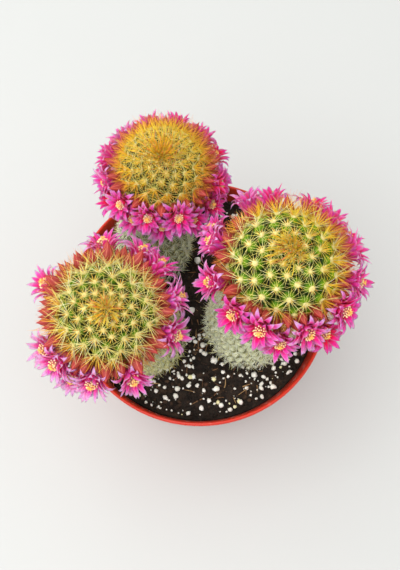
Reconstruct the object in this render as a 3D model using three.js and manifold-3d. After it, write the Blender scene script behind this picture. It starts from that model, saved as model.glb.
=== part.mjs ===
// A flowering round cactus in a nursery pot: three spiny stems, each with a ring of blooms,
// stand in peat and perlite. Millimetres, +Z up, origin at the centre of the pot's underside.
import * as THREE from 'three';
import { mergeVertices } from 'three/addons/utils/BufferGeometryUtils.js';
import Module from 'manifold-3d';

const wasm = await Module();
wasm.setup();

// Pot and soil
const POT_RIM_RADIUS = 70;
const POT_HEIGHT = 104;
const POT_SIDES = 40;
const FLOOR_THICKNESS = 3;
const DRAIN_COUNT = 6;
const DRAIN_RADIUS = 4.5;
const DRAIN_CIRCLE = 33;
const DRAIN_SIDES = 10;
const COLLAR_FOOT = POT_HEIGHT - 20;
const POT_INSIDE = [[48.4, FLOOR_THICKNESS], [62.9, COLLAR_FOOT], [64.7, COLLAR_FOOT + 1.6]];
const SEAT_GAP = 0.3;
const SOIL_LEVEL = 92;
const SOIL_RADIUS = 65.2;
const SOIL_RINGS = 6;
const HOLE_SIDES = 24;
const HOLE_GAP = 0.6;
const ROOT_DEPTH = 22;
const PERLITE_COUNT = 28;

// Stems: foot is where the stem leaves the soil, crown is the middle of the head, at its widest
const CELLS = 12;
const TUBERCLE_HEIGHT = 4;
const AREOLE_RADIUS = 0.95;
const DOME_FLATNESS = 0.9;
const TRUNK_SHARE = 0.86;
const NECK_RUN = [4, 30];
const LOWER_BLOOM_ROW = -11;
const UPPER_BLOOM_ROW = -3;
const DOME_ROWS = [6, 14.5, 22.5, 29];
const TRUNK_ROWS = 6;
const LOWEST_ROW = 9.5;
const SPINE_LENGTH = 9;
const TRUNK_SPINE_SHARE = 0.72;
const SPINE_CLEARANCE = 0.8;
const TUFT_LENGTH = 8;
const ALL_ROUND = [0, 30, 60, 90, 120, 150, 180, 210, 240, 270, 300, 330];
const STEMS = [
  {
    name: 'left', foot: [-29, -20.5], crown: [-43.6, -28.1, 165], up: [0.08, -0.22, 0.97], girth: 24.5,
    blooms: [13, 43, 62, 95, 154, 208, 226, 241, 259, 292, 342], buds: [75, 120, 180, 315],
    crownBuds: ALL_ROUND,
    bloom: { tube: 12.5, length: 17.5, spread: 9.9, petals: 8 },
  },
  {
    name: 'right', foot: [26, -14], crown: [40.1, -4.9, 165], up: [0.05, -0.02, 1], girth: 26.5,
    blooms: [15, 31, 47, 65, 98, 113, 148, 162, 195, 226, 249, 267, 286, 303, 321, 348], buds: [210],
    crownBuds: [210, 240, 270, 300],
    bloom: { tube: 13, length: 18, spread: 9.7, petals: 8 },
  },
  {
    name: 'back', foot: [-26, 31], crown: [-18.6, 50.2, 157], up: [0, 0, 1], girth: 23,
    blooms: [
      2, 31, 46, 61, 76, 91, 106, 121, 135, 149, 163, 178, 194, 209, 225, 241, 256, 271, 286, 302, 329, 345,
    ],
    buds: [], crownBuds: [210, 240, 270, 300],
    bloom: { tube: 10, length: 14.5, spread: 7.4, petals: 6 },
  },
];
const SLOT_ANGLE = Math.PI / CELLS;
const LOWER_TILT = 78;
const UPPER_TILT = 56;
const SEAT_LIFT = 2.4;
const SEAT_RADIUS = 1.9;
const STALK_FOOT = 1.7;
const STALK_RADIUS = 2.3;
const BUD = { tube: 9.5, length: 9.5, spread: STALK_RADIUS, neck: 1.5, belly: 2.5, tilt: 58 };

// Parts of a petal, as shares of the bloom's spread and of its height above the tube
const LIP_SHARE = 0.3;
const THROAT_SHARE = 0.18;
const WIDEST = { out: 0.64, up: 0.78 };
const OUTER_KEEL = { out: 0.56, up: 0.42 };
const INNER_KEEL = { out: 0.5, up: 0.62 };
const PETAL_HALF_WIDTH = 0.9;
const LAYER_STEP = 0.5;
const STAMEN_HEIGHT = 4;

const PLASTIC_FINISH = { color: 0xe24a34, roughness: 0.35, metalness: 0 };
const PEAT_FINISH = { color: 0x2e241d, roughness: 0.95, metalness: 0 };
const SKIN_FINISH = { color: 0x7f9a52, roughness: 0.7, metalness: 0 };
const PETAL_FINISH = { color: 0xdd3b98, roughness: 0.6, metalness: 0 };

// A repeatable scatter value between 0 and 1
function scatter(seed) {
  const value = Math.sin(seed * 12.9898) * 43758.5453;
  return value - Math.floor(value);
}

// A closed triangle mesh, made point by point and face by face
class Shell {
  points = [];
  faces = [];

  point(place) {
    this.points.push(place.x, place.y, place.z);
    return this.points.length / 3 - 1;
  }

  face(...corners) {
    this.faces.push(...corners);
  }

  fan(loop, centre) {
    loop.forEach((corner, i) => this.face(corner, loop[(i + 1) % loop.length], centre));
  }

  geometry() {
    const geometry = new THREE.BufferGeometry();
    geometry.setAttribute('position', new THREE.Float32BufferAttribute(this.points, 3));
    geometry.setIndex(this.faces);
    return geometry;
  }
}

// Turns a closed three.js geometry into a solid that can be joined and cut
function solid(geometry) {
  geometry.deleteAttribute('normal');
  geometry.deleteAttribute('uv');
  const merged = mergeVertices(geometry, 1e-4);
  return new wasm.Manifold(new wasm.Mesh({
    numProp: 3,
    vertProperties: merged.attributes.position.array,
    triVerts: new Uint32Array(merged.index.array),
  }));
}

function geometryOf(manifold) {
  const mesh = manifold.getMesh();
  const geometry = new THREE.BufferGeometry();
  geometry.setAttribute('position', new THREE.BufferAttribute(new Float32Array(mesh.vertProperties), 3));
  geometry.setIndex(new THREE.BufferAttribute(new Uint32Array(mesh.triVerts), 1));
  return geometry;
}

// An upright cylinder between two heights
function post(x, y, low, high, radius, sides) {
  const geometry = new THREE.CylinderGeometry(radius, radius, high - low, sides);
  geometry.rotateX(Math.PI / 2);
  geometry.translate(x, y, (low + high) / 2);
  return geometry;
}

// Turns a profile of [radius, height] points round the Z axis
function turned(profile, sides) {
  const geometry = new THREE.LatheGeometry(profile.map(([r, z]) => new THREE.Vector2(r, z)), sides);
  geometry.rotateX(Math.PI / 2);
  return geometry;
}

// The tapered pot with its collar and rolled rim, and a ring of drain holes
function potGeometry() {
  const top = POT_HEIGHT;
  const rim = POT_RIM_RADIUS;
  const profile = [
    [0, 0], [49, 0], [50.5, 1.5],
    [64.6, COLLAR_FOOT], [66.3, COLLAR_FOOT + 1.2], [68.1, top - 3.6],
    [rim - 0.3, top - 2.7], [rim, top - 1.5], [rim - 0.6, top],
    [rim - 2.6, top], [rim - 3, top - 0.8],
    ...[...POT_INSIDE].reverse(), [0, FLOOR_THICKNESS],
  ];
  let pot = solid(turned(profile, POT_SIDES));
  for (let i = 0; i < DRAIN_COUNT; i += 1) {
    const angle = (i / DRAIN_COUNT) * 2 * Math.PI;
    const [x, y] = [DRAIN_CIRCLE * Math.cos(angle), DRAIN_CIRCLE * Math.sin(angle)];
    pot = pot.subtract(solid(post(x, y, -1, FLOOR_THICKNESS + 1, DRAIN_RADIUS, DRAIN_SIDES)));
  }
  return geometryOf(pot);
}

// Height of the soil's uneven top at a place
function soilTop(x, y) {
  const waves = Math.sin(x * 0.21 + 1.3) * Math.cos(y * 0.24) + 0.6 * Math.sin(x * 0.47 - y * 0.39);
  return SOIL_LEVEL + 0.7 * waves;
}

// The body of soil that fills the pot, a gap inside its wall and floor, with an uneven top
function soilShell() {
  const shell = new Shell();
  const rings = [];
  const ring = (radius, height) => {
    const loop = [];
    for (let i = 0; i < POT_SIDES; i += 1) {
      const angle = (i / POT_SIDES) * 2 * Math.PI;
      const [x, y] = [radius * Math.cos(angle), radius * Math.sin(angle)];
      loop.push(shell.point(new THREE.Vector3(x, y, height ?? soilTop(x, y))));
    }
    rings.push(loop);
  };
  POT_INSIDE.forEach(([radius, height]) => ring(radius - 2 * SEAT_GAP, height + SEAT_GAP));
  for (let i = SOIL_RINGS; i > 0; i -= 1) ring((SOIL_RADIUS * i) / SOIL_RINGS);
  for (let level = 1; level < rings.length; level += 1) {
    for (let i = 0; i < POT_SIDES; i += 1) {
      const next = (i + 1) % POT_SIDES;
      shell.face(rings[level - 1][i], rings[level - 1][next], rings[level][next]);
      shell.face(rings[level - 1][i], rings[level][next], rings[level][i]);
    }
  }
  shell.fan(rings.at(-1), shell.point(new THREE.Vector3(0, 0, soilTop(0, 0))));
  shell.fan([...rings[0]].reverse(), shell.point(new THREE.Vector3(0, 0, FLOOR_THICKNESS + SEAT_GAP)));
  return shell;
}

// A white grain of perlite, half sunk in the soil
function grainGeometry(seed) {
  const angle = 2 * Math.PI * scatter(seed + 0.31);
  const reach = 60 * Math.sqrt(scatter(seed + 0.77));
  const [x, y] = [reach * Math.cos(angle), reach * Math.sin(angle)];
  if (STEMS.some(({ foot }) => Math.hypot(x - foot[0], y - foot[1]) < 25)) return null;
  const size = 1.5 + 1.2 * scatter(seed + 0.13);
  const grain = new THREE.OctahedronGeometry(size);
  grain.scale(1.2, 0.9, 0.9);
  grain.rotateZ(6 * scatter(seed + 0.5));
  grain.translate(x, y, soilTop(x, y) + 0.35 * size);
  return grain;
}

function soilGeometry() {
  let soil = solid(soilShell().geometry());
  for (const { foot, girth } of STEMS) {
    const [low, high] = [SOIL_LEVEL - ROOT_DEPTH - HOLE_GAP, SOIL_LEVEL + 5];
    soil = soil.subtract(solid(post(...foot, low, high, rootRadius(girth) + HOLE_GAP, HOLE_SIDES)));
  }
  let placed = 0;
  for (let seed = 1; placed < PERLITE_COUNT; seed += 1) {
    const grain = grainGeometry(seed);
    if (grain) {
      soil = soil.add(solid(grain));
      placed += 1;
    }
  }
  return geometryOf(soil);
}

// Radius of the skin between tubercles where the stem enters the soil
function rootRadius(girth) {
  return TRUNK_SHARE * girth - TUBERCLE_HEIGHT;
}

// The stem's centre line: it rises from the soil, leans out and turns up into the head
function centreLine(stem) {
  const foot = new THREE.Vector3(...stem.foot, SOIL_LEVEL);
  const crown = new THREE.Vector3(...stem.crown);
  const up = new THREE.Vector3(...stem.up).normalize();
  const handle = 0.38 * foot.distanceTo(crown);
  const lower = foot.clone().add(new THREE.Vector3(0, 0, handle));
  const upper = crown.clone().addScaledVector(up, -handle);
  const curve = new THREE.CubicBezierCurve3(foot, lower, upper, crown);
  return { curve, up, height: foot.distanceTo(crown) };
}

// Where the skin lies: rise runs up the stem, 0 at the head's widest, and lift stands off the skin
function skin(stem, angle, rise, lift) {
  const { curve, up, height } = stem.line;
  const skinRadius = stem.girth - TUBERCLE_HEIGHT;
  const t = Math.max(0, 1 + Math.min(rise, 0) / height);
  const tangent = rise >= 0 ? up : curve.getTangent(t);
  const east = new THREE.Vector3(1, 0, 0).addScaledVector(tangent, -tangent.x).normalize();
  const north = tangent.clone().cross(east);
  const radial = east.multiplyScalar(Math.cos(angle)).addScaledVector(north, Math.sin(angle));
  const slope = Math.max(rise, 0) / stem.girth;
  const narrowing = (1 - TRUNK_SHARE) * stem.girth * THREE.MathUtils.smoothstep(-rise, ...NECK_RUN);
  const radius = skinRadius * Math.cos(slope) - narrowing;
  const climb = DOME_FLATNESS * skinRadius * Math.sin(slope);
  const normal = radial.clone().multiplyScalar(Math.cos(slope)).addScaledVector(tangent, Math.sin(slope));
  const place = curve.getPoint(t).addScaledVector(tangent, climb).addScaledVector(radial, radius);
  return { place: place.addScaledVector(normal, lift), normal, radial, tangent, radius };
}

// A direction that leans away from the stem's line by a tilt in degrees
function leaning({ radial, tangent }, tilt) {
  const angle = THREE.MathUtils.degToRad(tilt);
  return radial.clone().multiplyScalar(Math.sin(angle)).addScaledVector(tangent, Math.cos(angle));
}

// The half cell that a compass direction in degrees falls in; even ones are in the lower bloom row
function slotOf(degrees) {
  return Math.round(THREE.MathUtils.degToRad(degrees) / SLOT_ANGLE) % (2 * CELLS);
}

function bloomRow(slot) {
  return slot % 2 === 0 ? LOWER_BLOOM_ROW : UPPER_BLOOM_ROW;
}

// Seat and direction of each bloom, two staggered rows round the shoulder
function bloomSeats(stem) {
  return stem.blooms.map((degrees) => {
    const slot = slotOf(degrees);
    const side = skin(stem, THREE.MathUtils.degToRad(degrees), bloomRow(slot), SEAT_LIFT);
    const tilt = slot % 2 === 0 ? LOWER_TILT : UPPER_TILT;
    return { slot, rise: bloomRow(slot), seat: side.place, direction: leaning(side, tilt), side };
  });
}

function budSeat(stem, angle, rise) {
  const spot = skin(stem, angle, rise, SEAT_LIFT);
  return { seat: spot.place, direction: leaning(spot, BUD.tilt) };
}

// Whether a point keeps out of one bloom or bud, a stalk that widens past its tube
function misses(point, { seat, direction }, { tube, length, spread }) {
  const offset = point.clone().sub(seat);
  const along = offset.dot(direction);
  if (along < -1 || along > length + 1) return true;
  const away = offset.addScaledVector(direction, -along).length();
  const flare = THREE.MathUtils.smoothstep(along, tube - 1, length);
  return away > STALK_RADIUS + SPINE_CLEARANCE + (spread - STALK_RADIUS) * flare;
}

// Whether a spine from root to tip is clear of blooms, buds, the other stems, the rim and the soil
function isClear(stem, root, tip) {
  return [0.35, 0.6, 0.8, 1].every((share) => {
    const point = root.clone().lerp(tip, share);
    if (point.z < SOIL_LEVEL + 3) return false;
    if (point.z < POT_HEIGHT + 1.5 && Math.hypot(point.x, point.y) > POT_RIM_RADIUS - 5) return false;
    if (!stem.bloomSeats.every((seat) => misses(point, seat, stem.bloom))) return false;
    if (!stem.budSeats.every((seat) => misses(point, seat, BUD))) return false;
    return STEMS.every((other) => other === stem || ownSide(point, stem, other));
  });
}

// Whether a point is nearer to its own stem's line than to another's, at its height
function ownSide(point, stem, other) {
  const distance = (one) => {
    const t = THREE.MathUtils.clamp((point.z - SOIL_LEVEL) / (one.crown[2] - SOIL_LEVEL), 0, 1);
    const centre = one.line.curve.getPoint(t);
    return Math.hypot(point.x - centre.x, point.y - centre.y) / one.girth;
  };
  return distance(stem) < 0.97 * distance(other);
}

// Lays three areole corners over a six-cornered cell and returns them
function areole(shell, cell, centre, across, above, radius) {
  const corners = [90, 210, 330].map((degrees) => {
    const angle = THREE.MathUtils.degToRad(degrees);
    const place = centre.clone().addScaledVector(across, radius * Math.cos(angle));
    return shell.point(place.addScaledVector(above, radius * Math.sin(angle)));
  });
  for (let k = 0; k < 3; k += 1) {
    shell.face(cell[2 * k], cell[2 * k + 1], corners[k]);
    shell.face(cell[2 * k + 1], cell[(2 * k + 2) % 6], corners[k]);
    shell.face(cell[(2 * k + 2) % 6], corners[(k + 1) % 3], corners[k]);
  }
  return corners;
}

// A tubercle that ends in an areole with three spines
function spinyCell(shell, stem, cell, angle, rise, pitch) {
  const { place: centre, normal, radial, tangent, radius } = skin(stem, angle, rise, TUBERCLE_HEIGHT);
  const across = tangent.clone().cross(radial).normalize();
  const above = normal.clone().cross(across);
  const corners = areole(shell, cell, centre, across, above, AREOLE_RADIUS);
  const middle = shell.point(centre.clone().addScaledVector(normal, 0.5));
  const room = 0.44 * Math.min(pitch, (2 * Math.PI * radius) / CELLS) * (1 + 7 / stem.girth);
  [150, 270, 390].forEach((degrees, k) => {
    const seed = angle * 7.1 + rise * 1.7 + k + stem.girth;
    const share = rise < LOWER_BLOOM_ROW ? TRUNK_SPINE_SHARE : 1;
    const length = SPINE_LENGTH * share * (0.88 + 0.24 * scatter(seed));
    const turn = THREE.MathUtils.degToRad(degrees + 16 * (scatter(seed + 0.4) - 0.5));
    const splay = Math.min(0.72, room / length);
    const direction = normal.clone().multiplyScalar(Math.sqrt(1 - splay * splay));
    direction.addScaledVector(across, splay * Math.cos(turn)).addScaledVector(above, splay * Math.sin(turn));
    const tips = [1, 0.7, 0.45].map((part) => centre.clone().addScaledVector(direction, part * length));
    const tip = tips.find((candidate) => isClear(stem, centre, candidate));
    const base = [corners[k], corners[(k + 1) % 3], middle];
    if (tip) shell.fan(base, shell.point(tip));
    else shell.face(...base);
  });
}

// A low tubercle with a flat top, square to the bloom that stands on it
function seatCell(shell, cell, { seat, direction, side }) {
  const across = side.tangent.clone().cross(side.radial).normalize();
  shell.face(...areole(shell, cell, seat, across, direction.clone().cross(across), SEAT_RADIUS));
}

// A pointed bud with a narrow neck and a full belly
function budCell(shell, cell, { seat, direction }) {
  const across = new THREE.Vector3(0, 0, 1).cross(direction).normalize();
  const above = direction.clone().cross(across);
  const hoop = (along, radius) => [30, 90, 150, 210, 270, 330].map((degrees) => {
    const angle = THREE.MathUtils.degToRad(degrees);
    const place = seat.clone().addScaledVector(direction, along);
    place.addScaledVector(across, radius * Math.cos(angle)).addScaledVector(above, radius * Math.sin(angle));
    return shell.point(place);
  });
  const hoops = [cell, hoop(0, BUD.neck), hoop(0.5 * BUD.length, BUD.belly)];
  for (let level = 1; level < hoops.length; level += 1) band(shell, hoops[level - 1], hoops[level]);
  shell.fan(hoops.at(-1), shell.point(seat.clone().addScaledVector(direction, BUD.length)));
}

// Joins two loops with the same number of corners, the second above the first
function band(shell, low, high) {
  low.forEach((corner, i) => {
    const next = (i + 1) % low.length;
    shell.face(corner, low[next], high[next]);
    shell.face(corner, high[next], high[i]);
  });
}

// Heights of the rows of tubercles, from the soil to the top of the dome
function rowRises(stem) {
  const lowest = LOWEST_ROW - stem.line.height;
  const step = (LOWER_BLOOM_ROW - lowest) / TRUNK_ROWS;
  const trunk = Array.from({ length: TRUNK_ROWS }, (_, i) => lowest + i * step);
  return [...trunk, LOWER_BLOOM_ROW, UPPER_BLOOM_ROW, ...DOME_ROWS];
}

// The zigzag of valley points between two rows, at one and two thirds of the step
function valley(shell, stem, row, low, high) {
  return Array.from({ length: 2 * CELLS }, (_, k) => {
    const share = (k + row) % 2 === 0 ? 2 / 3 : 1 / 3;
    return shell.point(skin(stem, k * SLOT_ANGLE, low + share * (high - low), 0).place);
  });
}

// The tuft of young spines on top of the dome, standing on the last valley
function tuft(shell, stem, loop) {
  const top = skin(stem, 0, (Math.PI / 2) * stem.girth, SEAT_LIFT).place;
  const peak = shell.point(top);
  const { up } = stem.line;
  for (let k = 0; k < CELLS; k += 1) {
    const corners = [loop[2 * k], loop[2 * k + 1], loop[(2 * k + 2) % loop.length], peak];
    const outer = skin(stem, (2 * k + 1) * SLOT_ANGLE, DOME_ROWS.at(-1) + 4, 0).place;
    const length = TUFT_LENGTH * (0.88 + 0.24 * scatter(k + stem.girth));
    const tip = outer.lerp(top, 0.25).addScaledVector(up, length);
    shell.fan(corners, shell.point(tip));
  }
}

// The plain root of the stem, which stands in its hole in the soil
function root(shell, stem, loop) {
  const hoop = (height) => Array.from({ length: CELLS }, (_, k) => {
    const angle = 2 * k * SLOT_ANGLE;
    const radius = rootRadius(stem.girth);
    const [x, y] = [stem.foot[0] + radius * Math.cos(angle), stem.foot[1] + radius * Math.sin(angle)];
    return shell.point(new THREE.Vector3(x, y, height));
  });
  const collar = hoop(SOIL_LEVEL + 1);
  const bottom = hoop(SOIL_LEVEL - ROOT_DEPTH);
  for (let k = 0; k < CELLS; k += 1) {
    const next = (k + 1) % CELLS;
    shell.face(collar[k], loop[2 * k + 1], loop[2 * k]);
    shell.face(collar[k], collar[next], loop[2 * k + 1]);
    shell.face(collar[next], loop[2 * next], loop[2 * k + 1]);
  }
  band(shell, bottom, collar);
  shell.fan([...bottom].reverse(), shell.point(new THREE.Vector3(...stem.foot, SOIL_LEVEL - ROOT_DEPTH)));
}

// One whole stem: staggered rows of tubercles that carry spines, buds or the seats of blooms
function stemGeometry(stem) {
  const shell = new Shell();
  const rises = rowRises(stem);
  const firstStep = rises[1] - rises[0];
  const lastStep = rises.at(-1) - rises.at(-2);
  const ends = [rises[0] - firstStep, ...rises, rises.at(-1) + lastStep];
  const valleys = ends.slice(1).map((high, row) => valley(shell, stem, row, ends[row], high));
  rises.forEach((rise, row) => {
    const pitch = (ends[row + 2] - ends[row]) / 2;
    for (let j = 0; j < CELLS; j += 1) {
      const slot = 2 * j + (row % 2);
      const at = (level, offset) => valleys[level][(slot + offset + 2 * CELLS) % (2 * CELLS)];
      const cell = [at(row + 1, 1), at(row + 1, 0), at(row + 1, -1), at(row, -1), at(row, 0), at(row, 1)];
      const isHere = (seat) => seat.slot === slot && seat.rise === rise;
      const bloom = stem.bloomSeats.find(isHere);
      const bud = stem.budSeats.find(isHere);
      if (bloom) seatCell(shell, cell, bloom);
      else if (bud) budCell(shell, cell, bud);
      else spinyCell(shell, stem, cell, slot * SLOT_ANGLE, rise, pitch);
    }
  });
  tuft(shell, stem, valleys.at(-1));
  root(shell, stem, valleys[0]);
  return shell.geometry();
}

// Every bud of a stem: some in the rows of blooms and some in the row above them
function budSeats(stem) {
  const low = stem.buds.map((degrees) => ({ slot: slotOf(degrees), rise: bloomRow(slotOf(degrees)) }));
  const high = stem.crownBuds.map((degrees) => ({ slot: slotOf(degrees), rise: DOME_ROWS[0] }));
  return [...low, ...high].map((bud) => ({ ...bud, ...budSeat(stem, bud.slot * SLOT_ANGLE, bud.rise) }));
}

// One bloom: a tube that opens into pointed petals round a cone of stamens
function bloomGeometry({ tube, length, spread, petals }, { seat, direction, side, slot }) {
  const shell = new Shell();
  const across = side.tangent.clone().cross(side.radial).normalize();
  const above = direction.clone().cross(across);
  const at = (turn, radius, along, sideways = 0) => {
    const outward = across.clone().multiplyScalar(Math.cos(turn)).addScaledVector(above, Math.sin(turn));
    const sideway = across.clone().multiplyScalar(-Math.sin(turn)).addScaledVector(above, Math.cos(turn));
    const place = seat.clone().addScaledVector(direction, along).addScaledVector(outward, radius);
    return shell.point(place.addScaledVector(sideway, sideways));
  };
  const turns = Array.from({ length: petals }, (_, k) => ((k + scatter(slot)) / petals) * 2 * Math.PI);
  const foot = turns.map((turn) => at(turn, STALK_FOOT, SEAT_GAP));
  const lip = turns.map((turn) => at(turn, LIP_SHARE * spread, tube));
  const throat = turns.map((turn) => at(turn, THROAT_SHARE * spread, tube + LAYER_STEP));
  band(shell, foot, lip);
  turns.forEach((turn, k) => {
    const next = (k + 1) % petals;
    const inner = k % 2;
    const middle = turn + Math.PI / petals;
    const part = ({ out, up }, sideways) => {
      const along = tube + up * (length - tube) + LAYER_STEP * inner;
      return at(middle, out * spread, along, sideways);
    };
    const half = PETAL_HALF_WIDTH + (0.78 * spread) / petals;
    const near = part(WIDEST, -half);
    const far = part(WIDEST, half);
    const tip = part({ out: 1 - 0.12 * inner, up: 1 }, 0);
    shell.fan([lip[k], lip[next], far, tip, near], part(OUTER_KEEL, 0));
    shell.fan([throat[next], throat[k], near, tip, far], part(INNER_KEEL, 0));
    shell.face(lip[k], near, throat[k]);
    shell.face(far, lip[next], throat[next]);
  });
  shell.fan(throat, at(0, 0, tube + STAMEN_HEIGHT));
  shell.fan([...foot].reverse(), at(0, 0, SEAT_GAP));
  return shell.geometry();
}

function piece(name, geometry, finish) {
  const mesh = new THREE.Mesh(geometry, new THREE.MeshStandardMaterial(finish));
  mesh.name = name;
  return mesh;
}

for (const stem of STEMS) {
  stem.line = centreLine(stem);
  stem.bloomSeats = bloomSeats(stem);
  stem.budSeats = budSeats(stem);
}

const cactus = new THREE.Group();
cactus.add(piece('pot', potGeometry(), PLASTIC_FINISH));
cactus.add(piece('soil', soilGeometry(), PEAT_FINISH));
for (const stem of STEMS) {
  cactus.add(piece(`stem_${stem.name}`, stemGeometry(stem), SKIN_FINISH));
  stem.bloomSeats.forEach((seat, i) => {
    const name = `bloom_${stem.name}_${String(i + 1).padStart(2, '0')}`;
    cactus.add(piece(name, bloomGeometry(stem.bloom, seat), PETAL_FINISH));
  });
}

export default cactus;
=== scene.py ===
import math

import bmesh
import bpy
import numpy as np
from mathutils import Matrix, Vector


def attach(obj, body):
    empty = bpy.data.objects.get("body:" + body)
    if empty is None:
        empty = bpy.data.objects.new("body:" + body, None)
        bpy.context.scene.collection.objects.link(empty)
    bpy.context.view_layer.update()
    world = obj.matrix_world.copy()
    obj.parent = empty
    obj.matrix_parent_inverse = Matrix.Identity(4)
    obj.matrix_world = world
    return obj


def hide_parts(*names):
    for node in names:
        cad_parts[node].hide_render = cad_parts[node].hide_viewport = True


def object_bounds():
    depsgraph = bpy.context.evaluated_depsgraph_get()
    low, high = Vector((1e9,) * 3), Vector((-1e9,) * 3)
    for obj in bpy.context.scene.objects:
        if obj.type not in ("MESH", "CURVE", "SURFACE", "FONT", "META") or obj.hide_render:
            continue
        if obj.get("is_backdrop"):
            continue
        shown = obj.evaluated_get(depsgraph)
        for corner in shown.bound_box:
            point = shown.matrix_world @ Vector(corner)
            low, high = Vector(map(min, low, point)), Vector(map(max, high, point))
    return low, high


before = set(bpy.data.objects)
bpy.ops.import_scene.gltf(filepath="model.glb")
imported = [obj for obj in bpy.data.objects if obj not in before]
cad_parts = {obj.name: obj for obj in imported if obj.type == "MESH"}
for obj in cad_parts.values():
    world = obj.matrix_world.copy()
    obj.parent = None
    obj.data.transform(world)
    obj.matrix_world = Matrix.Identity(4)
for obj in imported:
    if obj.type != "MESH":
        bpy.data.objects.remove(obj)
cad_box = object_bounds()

MM = 0.001
GOLDEN_ANGLE = math.pi * (3 - math.sqrt(5))

# Pot and soil, in millimetres, as the solids have them
POT_RIM_RADIUS = 70
POT_HEIGHT = 104
COLLAR_FOOT = 84
FLOOR_THICKNESS = 3
FLOOR_RADIUS = 48.4
POT_INSIDE = [(FLOOR_RADIUS, FLOOR_THICKNESS), (62.9, COLLAR_FOOT), (64.7, COLLAR_FOOT + 1.6)]
DRAIN_COUNT, DRAIN_RADIUS, DRAIN_CIRCLE = 6, 4.5, 33
SOIL_LEVEL = 92
SOIL_RADIUS = 65.2
SOIL_WALL_GAP, SOIL_FLOOR_GAP = 0.6, 0.3
ROOT_DEPTH = 22
PERLITE_COUNT, PERLITE_REACH, PERLITE_GAP = 28, 60, 25

# Stems and blooms, in millimetres and degrees, as the solids have them
TRUNK_SPACING = 5.4
TUBERCLE_HEIGHT = 4
DOME_FLATNESS = 0.9
TRUNK_SHARE = 0.86
NECK_RUN = (4, 30)
BEND_HANDLE = 0.38
SLOT_ANGLE = math.pi / 12
LOWER_ROW, UPPER_ROW, CROWN_ROW = -11, -3, 6
LOWER_TILT, UPPER_TILT, BUD_TILT = 78, 56, 58
SEAT_LIFT = 2.4
BUD_LENGTH, BUD_NECK, BUD_BELLY = 9.5, 1.5, 2.5
ALL_ROUND = list(range(0, 360, 30))

# Finer forms of this scene
SKIN_LIFT = 0.2
AGEING_RUN = (2, 16)
BLOOM_CLEARANCE, BUD_CLEARANCE = 3.1, 3.0
SMALL_BUD_PLACES, SMALL_BUD_TILT, SMALL_BUD_RISES = 60, 62, np.array([-5.0, 1.0, 6.0])
SMALL_BUD_CLEARANCE, SMALL_BUD_GAP, SMALL_BUD_SHARE = 2.2, 3, 0.85
USUAL_SPREAD = 9.8
STAMENS, STIGMA_LOBES = 30, 6
PETAL_OUTLINE = np.array([(-0.5, 0), (0, 0), (0.5, 0), (1, 1), (0.5, 1), (0, 1), (-0.5, 1), (-1, 1)], float)
PETAL_ROWS = 7
PETAL_THICKNESS = 0.16
# Petal whorls from the outside in: count, turn, width, paleness, and the four knots of a petal's curve as
# shares of the bloom's spread and of its height over the tube
WHORLS = [
    (7, 0.3, 1.4, -0.1, [(0.2, -1.8), (0.34, -1.1), (0.46, -0.4), (0.74, 0.1)]),
    (9, 0.0, 1.65, 0.08, [(0.26, -1.3), (0.4, -0.3), (0.8, 0.9), (1.2, 0.1)]),
    (9, 0.5, 1.8, 0.02, [(0.24, -1.1), (0.36, 0.0), (0.6, 0.8), (1.02, 0.95)]),
    (7, 0.2, 1.55, -0.1, [(0.2, -0.8), (0.28, 0.2), (0.42, 0.85), (0.72, 1.15)]),
]
HEART_VALUES = {"across": 0.5, "inside": 1.0, "pale": 0.0}


def rgb(red, green, blue):
    """A colour from 0 to 255 steps, as the linear values that a shader works with."""
    steps = np.array([red, green, blue]) / 255
    linear = np.where(steps <= 0.04045, steps / 12.92, ((steps + 0.055) / 1.055) ** 2.4)
    return (*linear, 1.0)


def smoothstep(value, low, high):
    """3x^2 - 2x^3 of the value's share between low and high, held at 0 and 1 outside."""
    share = np.clip((value - low) / (high - low), 0, 1)
    return share * share * (3 - 2 * share)


def unit(vectors):
    return vectors / np.linalg.norm(vectors, axis=-1, keepdims=True)


def mixed(a, b, share):
    return a + (b - a) * share


def turns(count):
    """Angles that part a full turn evenly."""
    return np.arange(count) / count * 2 * math.pi


def on_circle(angle):
    return np.stack([np.cos(angle), np.sin(angle)], -1)


def around(angle, first, second):
    """Directions that turn from a first axis to a second: cos * first + sin * second."""
    return np.cos(angle)[..., None] * first + np.sin(angle)[..., None] * second


def cubic(knots, t):
    """The curve (1-t)^3 a + 3t(1-t)^2 b + 3t^2(1-t) c + t^3 d of four knots."""
    a, b, c, d = knots
    rest = 1 - t
    return rest ** 3 * a + 3 * t * rest ** 2 * b + 3 * t * t * rest * c + t ** 3 * d


def at_height(outline, height):
    """A flat outline's corners, laid at one height or at a height each."""
    return np.column_stack([outline, np.full(len(outline), height)])


def spindle_faces(rows, sides):
    """Triangles of a closed form with rings of corners and a pointed tip, numbered ring by ring:
    a fan closes the first ring, two triangles fill each cell of a band, a fan closes the tip."""
    j = np.arange(sides)
    after = (j + 1) % sides
    base = np.stack([np.zeros(sides - 2, int), j[2:], j[1:-1]], 1)
    step = np.arange(rows - 1)[:, None] * sides
    low, low_next = step + j, step + after
    first = np.stack([low, low_next, low_next + sides], -1).reshape(-1, 3)
    second = np.stack([low, low_next + sides, low + sides], -1).reshape(-1, 3)
    last = (rows - 1) * sides
    tip = np.stack([last + j, last + after, np.full(sides, rows * sides)], 1)
    return np.concatenate([base, first, second, tip])


def ring_values(values, sides, tip):
    """A spindle's values: one for each ring, given to all its corners, and one for the tip."""
    return np.append(np.repeat(values, sides), tip)


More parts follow.
